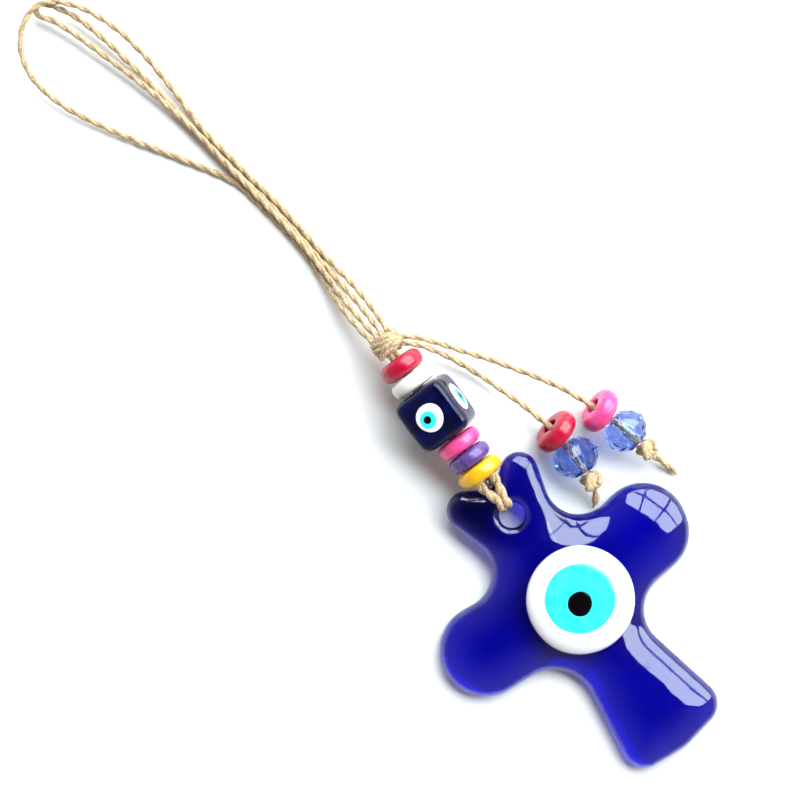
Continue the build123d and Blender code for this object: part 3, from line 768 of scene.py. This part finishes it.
def make_cube():
    """Rings from the bore over one end, along the sides, over the other end and back down the bore."""
    angle = TAU * np.arange(256) / 256
    half = CUBE_LEN / 2
    steps = np.linspace(-1, 1, 97)
    z = half * np.sin(steps * math.pi / 2) * (1 - 0.0005 * np.abs(steps))
    side = cube_reach(angle)[None, :] * cube_swell(z)[:, None]
    lip = np.linspace(0, math.pi / 2, 6)
    lip_r = BORE + 0.5 * MM * (1 - np.sin(lip))
    lip_z = half - 0.45 * MM * (1 - np.cos(lip))
    end = side[-1]
    fill = np.linspace(0, 1, 8)[1:-1]
    top = lip_r[0] + (end - lip_r[0])[None, :] * fill[::-1, None]
    walls = np.linspace(lip_z[-1], -lip_z[-1], 10)[1:-1]
    radii = np.vstack([side, top, np.repeat(lip_r[:, None], 256, 1),
                       np.full((len(walls), 256), BORE), np.repeat(lip_r[::-1, None], 256, 1),
                       top[::-1]])
    heights = np.concatenate([z, np.full(len(top), z[-1]), lip_z, walls, -lip_z[::-1],
                              np.full(len(top), z[0])])
    rings = np.stack([radii * np.cos(angle), radii * np.sin(angle),
                      np.repeat(heights[:, None], 256, 1)], 2)
    placed = cube_place(rings.reshape(-1, 3)).reshape(rings.shape)
    settle(grid_mesh("cube_bead_cast", placed, round_u=True), "cube", "navy_glass", NAVY,
           "cube_bead")


def cube_place(points):
    """From the cube's own frame, its Z along the string, to where it has rolled."""
    x_dir = (math.cos(CUBE_TURN), 0, -math.sin(CUBE_TURN))
    return turned(points, (0, 1, 0), x_dir, middle("cube_bead"))


def cube_dot(name, quarter, centre, radius, lift, slot, material, node):
    """A drop of glass on one side of the cube: a thin lens that follows the side's bulge."""
    t = np.linspace(0, 1, 22)
    angle = TAU * np.arange(64) / 64
    wobble = 1 + 0.02 * np.sin(2 * angle + quarter) + 0.015 * np.sin(3 * angle + 2 * quarter)
    out = np.sin(t * math.pi / 2)[:, None] * radius * wobble
    across = centre[0] + out * np.cos(angle)
    along = centre[1] + out * np.sin(angle)
    reach = cube_swell(along) * CUBE_HALF * (
        1 - np.clip(np.abs(across) / CUBE_HALF, 0, 0.9999) ** CUBE_POWER) ** (1 / CUBE_POWER)
    dome = lift * (1 - (out / (radius * wobble)) ** 4) ** 0.5
    top = np.stack([across, -(reach + dome), along], 2)
    under = np.stack([across, -(reach - 0.5 * MM), along], 2)
    rings = np.concatenate([top, under[::-1]])
    turn = quarter * math.pi / 2
    c, s = math.cos(turn), math.sin(turn)
    flat = rings.reshape(-1, 3) @ np.array([[c, s, 0], [-s, c, 0], [0, 0, 1]])
    placed = cube_place(flat).reshape(rings.shape)
    settle(grid_mesh(name, placed, caps=True), "cube", slot, material, node)


def make_cube_eyes():
    for quarter, side in enumerate(("front", "right", "back", "left")):
        for part, centre, radius, lift, slot, material in (
                ("white", (0, 0), 3.7, 0.10, "white_glass", WHITE_GLASS),
                ("iris", (-0.6, -0.2), 2.45, 0.16, "turquoise_glass", TURQUOISE),
                ("pupil", (-0.8, -0.1), 1.3, 0.20, "black_glass", BLACK_GLASS)):
            if side == "right":
                centre = (-1.4 * centre[0], centre[1])
                radius *= 1.08
            cube_dot(f"cube_{side}_{part}_drop", quarter, (centre[0] * MM, centre[1] * MM),
                     radius * MM, lift * MM, slot, material, f"cube_{side}_{part}")


make_cube()
make_cube_eyes()


# ---- glass cross --------------------------------------------------------------------------------
THICK = 8.0 * MM
LIE = 0.22 * MM              # the slightly uneven back touches the table only here and there
EDGE_MID = 1.8 * MM          # height of the outline's widest line
TAB_BACK = 3.0 * MM          # the tab's back is raised by this
TAB_MID = 5.0 * MM
BACK_ROUND = 0.6 * MM
NOSE = 1.8 * MM              # width of the round nose along the edge
NOSE_RISE = 2.2 * MM
PILLOW = 12.0 * MM           # how far in the front keeps rising from the edge
TAB_NOSE_RISE = 1.5 * MM
TAB_PILLOW = 5.0 * MM
# The outline is a belt round discs: (x, y, radius), a negative radius being a hollow.
DISCS = np.array([
    (24.8, 5.0, 11.7), (18.8, 25.4, -9.4), (7.2, 36.6, 5.0), (-1.2, 40.3, -3.0),
    (-10.0, 36.3, 5.3), (-22.0, 24.6, -9.4), (-27.8, 3.6, 12.2), (-23.0, -19.8, -10.8),
    (-9.0, -41.0, 6.3), (-1.0, -36.0, 12.0), (8.0, -40.3, 6.2), (20.4, -18.6, -10.2),
    (24.4, 3.8, 11.8)]) * MM


def belt(discs, step):
    """Points and outward directions along the tangents and arcs round the discs."""
    nxt = np.roll(discs, -1, 0)
    gap = nxt[:, :2] - discs[:, :2]
    leave = (np.arctan2(gap[:, 1], gap[:, 0])
             - np.arccos((discs[:, 2] - nxt[:, 2]) / np.hypot(gap[:, 0], gap[:, 1])))
    points, outward = [], []
    for k, (x, y, r) in enumerate(discs):
        start = leave[k - 1]
        turn = (leave[k] - start) % TAU
        if r < 0:
            turn -= TAU
        count = max(int(abs(turn * r) / step), 2)
        angle = start + turn * np.linspace(0, 1, count)
        points.append(np.stack([x + r * np.cos(angle), y + r * np.sin(angle)], 1))
        outward.append(np.stack([np.cos(angle), np.sin(angle)], 1))
        off = points[-1][-1]
        nx, ny, nr = nxt[k]
        on = np.array((nx + nr * math.cos(leave[k]), ny + nr * math.sin(leave[k])))
        count = int(np.linalg.norm(on - off) / step)
        if count > 1:
            t = (np.arange(1, count) / count)[:, None]
            points.append(off + (on - off) * t)
            outward.append(np.repeat(outward[-1][-1:], count - 1, 0))
    return np.concatenate(points), np.concatenate(outward)


def ease(value, low, high):
    share = np.clip((value - low) / (high - low), 0, 1)
    return share * share * (3 - 2 * share)


def tab_share(y):
    """0 on the cross's body, 1 on the raised tab."""
    return ease(y, 17.0 * MM, 26.5 * MM)


def back_height(x, y):
    """The back: nearly flat on the table, rising under the tab."""
    ripple = 0.5 + 0.25 * (np.sin(x / (4.7 * MM)) + np.cos(y / (5.9 * MM) + 1.0))
    return TAB_BACK * tab_share(y) + LIE * ripple


def inset(x, y, outline):
    """Distance from each point to the outline."""
    found = np.empty(len(x))
    for start in range(0, len(x), 4000):
        part = slice(start, start + 4000)
        found[part] = np.hypot(x[part, None] - outline[None, :, 0],
                               y[part, None] - outline[None, :, 1]).min(1)
    return found


def front_height(x, y, depth):
    """The front: a round nose along the edge, then a wide low dome, with a hand-poured swell."""
    tab = tab_share(y)
    mid = EDGE_MID + (TAB_MID - EDGE_MID) * tab
    nose_rise = NOSE_RISE + (TAB_NOSE_RISE - NOSE_RISE) * tab
    width = PILLOW + (TAB_PILLOW - PILLOW) * tab
    nose = np.sqrt(1 - (1 - np.clip(depth / NOSE, 0, 1)) ** 2)
    dome = 1 - (1 - np.clip(depth / width, 0, 1)) ** 2
    swell = 0.09 * MM * (np.sin(x / (6.1 * MM) + 1.0) * np.cos(y / (7.3 * MM))
                         + 0.6 * np.sin((x + y) / (4.4 * MM)))
    return mid + nose_rise * nose + (THICK - mid - nose_rise) * dome + swell * dome


def make_glass():
    """Rings: back middle, back edge rounded, up the edge, over the front, in to the middle."""
    outline, outward = belt(DISCS, 0.22 * MM)
    mid = EDGE_MID + (TAB_MID - EDGE_MID) * tab_share(outline[:, 1])
    rings = []

    def lay(flat, height):
        rings.append(np.column_stack([flat, height]))

    core = outline - outward * BACK_ROUND
    for share in np.linspace(0, 1, 40)[1:-1]:
        lay(core * share, back_height(*(core * share).T))
    for turn in np.linspace(math.pi / 2, 0, 9)[:-1]:
        flat = outline - outward * BACK_ROUND * (1 - math.cos(turn))
        low = back_height(*flat.T)
        lay(flat, low + (mid - low) * (1 - math.sin(turn)))
    for depth in np.linspace(0, 1, 22) ** 1.8 * 3.2 * MM:
        flat = outline - outward * depth
        lay(flat, front_height(*flat.T, np.full(len(flat), depth)))
    core = flat
    for share in np.linspace(1, 0, 76)[1:-1]:
        flat = core * share
        lay(flat, front_height(*flat.T, inset(*flat.T, outline)))
    glass = grid_mesh("glass_cross_cast", np.array(rings), caps=True)
    cut_hole(glass)
    return settle(glass, "glass", "cobalt_glass", COBALT, "glass_cross")


def cut_hole(glass):
    """A bore that flares at both faces, so that its rims are round."""
    centre = np.array((-1.2, 28.5)) * MM
    height = np.linspace(2.2, 9.0, 61) * MM
    below = np.clip((3.9 * MM - height) / (1.7 * MM), 0, None)
    above = np.clip((height - 6.3 * MM) / (1.7 * MM), 0, None)
    radius = 3.35 * MM + 1.3 * MM * below ** 2.2 + 1.6 * MM * above ** 2.2
    angle = TAU * np.arange(96) / 96
    rings = np.stack([centre[0] + radius[:, None] * np.cos(angle),
                      centre[1] + radius[:, None] * np.sin(angle),
                      np.repeat(height[:, None], 96, 1)], 2)
    cutter = grid_mesh("bore", rings, caps=True)
    tool = glass.modifiers.new("hole", "BOOLEAN")
    tool.operation = "DIFFERENCE"
    tool.object = cutter
    tool.solver = "EXACT"
    bpy.context.view_layer.objects.active = glass
    bpy.ops.object.modifier_apply(modifier=tool.name)
    bpy.data.objects.remove(cutter)


# ---- eye ----------------------------------------------------------------------------------------
EYE_CENTRE = np.array((0.0, 0.3)) * MM
EYE_R = 14.2 * MM
EYE_RISE = 3.0 * MM
EYE_ROOT = 6.6 * MM


def eye_height(x, y):
    """The drop's top: a shallow crown that rolls over at its rim."""
    share = np.clip(np.hypot(x - EYE_CENTRE[0], y - EYE_CENTRE[1]) / EYE_R, 0, 1)
    return THICK - 0.6 * MM + (EYE_RISE + 0.6 * MM) * (1 - share ** 3.0) ** 0.42


def ragged(angle, radius, amount, seed):
    """A hand-dropped circle: its radius waves slowly."""
    return radius * (1 + amount * (np.sin(2 * angle + seed) + 0.6 * np.sin(3 * angle + 2.3 * seed)
                                   + 0.3 * np.sin(7 * angle + seed)))


def melted_ring(name, inner, outer, slot, material, node, lift):
    """A ring of the drop between two ragged circles, its edges sunk by a hair where it meets the next.

    inner and outer are (centre, radius, amount, seed); an inner radius of 0 makes a disc.
    """
    angle = TAU * np.arange(192) / 192
    steps = np.linspace(0, 1, 40)
    ins = np.stack([inner[0][0] + ragged(angle, inner[1], inner[2], inner[3]) * np.cos(angle),
                    inner[0][1] + ragged(angle, inner[1], inner[2], inner[3]) * np.sin(angle)], 1)
    outs = np.stack([outer[0][0] + ragged(angle, outer[1], outer[2], outer[3]) * np.cos(angle),
                     outer[0][1] + ragged(angle, outer[1], outer[2], outer[3]) * np.sin(angle)], 1)
    flat = ins[None] + (outs - ins)[None] * steps[:, None, None]
    width = np.linalg.norm(outs - ins, axis=1)[None]
    from_out = (1 - steps)[:, None] * width
    from_in = steps[:, None] * width if inner[1] else np.full_like(from_out, 1.0)
    sink = 0.06 * MM * (np.exp(-(from_out / (0.4 * MM)) ** 2)
                        + np.exp(-(from_in / (0.4 * MM)) ** 2))
    top = np.dstack([flat, eye_height(flat[..., 0], flat[..., 1]) + lift * (
        1 - np.exp(-from_out / (0.9 * MM))) - sink])
    base = np.dstack([flat[::-1], np.full(flat.shape[:2], EYE_ROOT)])
    rings = np.concatenate([top, base])
    piece = grid_mesh(name, rings, round_u=bool(inner[1]), caps=not inner[1])
    return settle(piece, "glass", slot, material, node)


def make_eye():
    rim = (EYE_CENTRE, EYE_R, 0.006, 1.0)
    iris = (np.array((0.0, 1.0)) * MM, 9.1 * MM, 0.010, 2.0)
    pupil = (np.array((-0.8, 0.0)) * MM, 3.2 * MM, 0.025, 0.4)
    middle_of = (pupil[0], 0.0, 0.0, 0.0)
    melted_ring("eye_white_drop", iris, rim, "white_glass", WHITE_GLASS, "eye_white", 0.0)
    melted_ring("eye_iris_drop", pupil, iris, "turquoise_glass", TURQUOISE, "eye_iris", 0.03 * MM)
    melted_ring("eye_pupil_drop", middle_of, pupil, "black_glass", BLACK_GLASS, "eye_pupil",
                0.10 * MM)


make_glass()
make_eye()


# ---- the string's two passes through the beads and round the glass ------------------------------
WRAP_CENTRE = np.array((34.65, 5.5)) * MM     # along and up: the bridge of glass that it goes round
WRAP_R = 3.72 * MM
STRING_X = -1.2 * MM
STRAND = 0.83 * MM                            # a strand's middle from the string's middle


def make_pass(side, name, node):
    """Down the front strand, round the bridge through the hole, and back up behind."""
    knot = middle("main_knot")[1] - span("main_knot")[1] / 2
    front = np.vstack([[(knot, 9.33 * MM)], np.array([
        (70.0, 9.33), (58.0, 9.33), (48.0, 9.33), (43.0, 9.4), (39.5, 9.45)]) * MM])
    angle = np.radians(np.linspace(86, 322, 15))
    wrap = WRAP_CENTRE + WRAP_R * np.stack([np.cos(angle), np.sin(angle)], 1)
    rear = np.array([(40.2, 7.55), (43.0, 7.67), (50.0, 7.67), (65.0, 7.67)]) * MM
    path = np.vstack([front, wrap, rear, [(knot, 7.67 * MM)]])
    spread = 1.6 * MM * np.exp(-((path[:, 0] - 39.6 * MM) / (3.4 * MM)) ** 2)
    spread[len(front) + 6:] = 0
    x = STRING_X + side * (STRAND + spread)
    line = smooth_line(np.column_stack([x, path[:, 0], path[:, 1]]))
    loose = ease(line[:, 1], 44.0 * MM, 40.0 * MM) * ease(line[:, 2], 6.0 * MM, 8.0 * MM)
    settle(twine(name, line, 0.8, 1.2 * MM, swell=1 + 0.6 * loose), "string", "twine", HEMP,
           node)


make_pass(-1, "bead_twine_left", "glass_loop_left")
make_pass(1, "bead_twine_right", "glass_loop_right")


# ---- table, window light and sky ----------------------------------------------------------------

def make_floor():
    side = 3.0
    corners = np.array([(-side, -side, 0), (side, -side, 0), (side, side, 0), (-side, side, 0)])
    mesh = bpy.data.meshes.new("table")
    mesh.from_pydata(corners.tolist(), [], [(0, 1, 2, 3)])
    floor = bpy.data.objects.new("table", mesh)
    bpy.context.collection.objects.link(floor)
    finish = Finish("table_white", Roughness=0.7)
    finish.shader.inputs["Base Color"].default_value = (0.86, 0.85, 0.84, 1.0)
    mesh.materials.append(finish.material)


WINDOW_TOWARD = Vector((0.948, 0.317, 0.95)).normalized()
WINDOW_FAR = 0.9             # from the ornament to the middle of the window
PANE = (0.50, 0.40)          # width and height of a pane
BAR = 0.05


def window_pane(name, centre, power, colour):
    """One pane of light, square on to the ornament."""
    data = bpy.data.lights.new(name, "AREA")
    data.shape = "RECTANGLE"
    data.size, data.size_y = PANE
    data.energy = power
    data.color = colour
    lamp = bpy.data.objects.new(name, data)
    lamp.location = centre
    lamp.rotation_euler = WINDOW_TOWARD.to_track_quat("Z", "Y").to_euler()
    bpy.context.collection.objects.link(lamp)


def make_light():
    """A window of three panes by two, split by bars, in a room that is dim overhead."""
    middle_at = Vector((0.0, 0.04, 0.0)) + WINDOW_TOWARD * WINDOW_FAR
    across = WINDOW_TOWARD.cross(Vector((0, 0, 1))).normalized()
    upward = across.cross(WINDOW_TOWARD).normalized()
    for column in (-1, 0, 1):
        for row in (-0.5, 0.5):
            centre = (middle_at + across * column * (PANE[0] + BAR)
                      + upward * row * (PANE[1] + BAR))
            window_pane(f"pane_{column}_{row}", centre, 5.8, (0.86, 0.95, 1.0))
    world = bpy.data.worlds.new("room")
    world.use_nodes = True
    tree = world.node_tree
    sky = tree.nodes["Background"]
    sky.inputs["Color"].default_value = (1.0, 0.92, 0.89, 1.0)
    split = tree.nodes.new("ShaderNodeSeparateXYZ")
    tree.links.new(tree.nodes.new("ShaderNodeTexCoord").outputs["Generated"], split.inputs[0])
    level = tree.nodes.new("ShaderNodeMapRange")
    level.inputs["To Min"].default_value = 0.90
    level.inputs["To Max"].default_value = 0.03
    tree.links.new(split.outputs["Z"], level.inputs["Value"])
    tree.links.new(level.outputs[0], sky.inputs["Strength"])
    bpy.context.scene.world = world


make_floor()
make_light()
bpy.context.scene.view_settings.view_transform = "Standard"
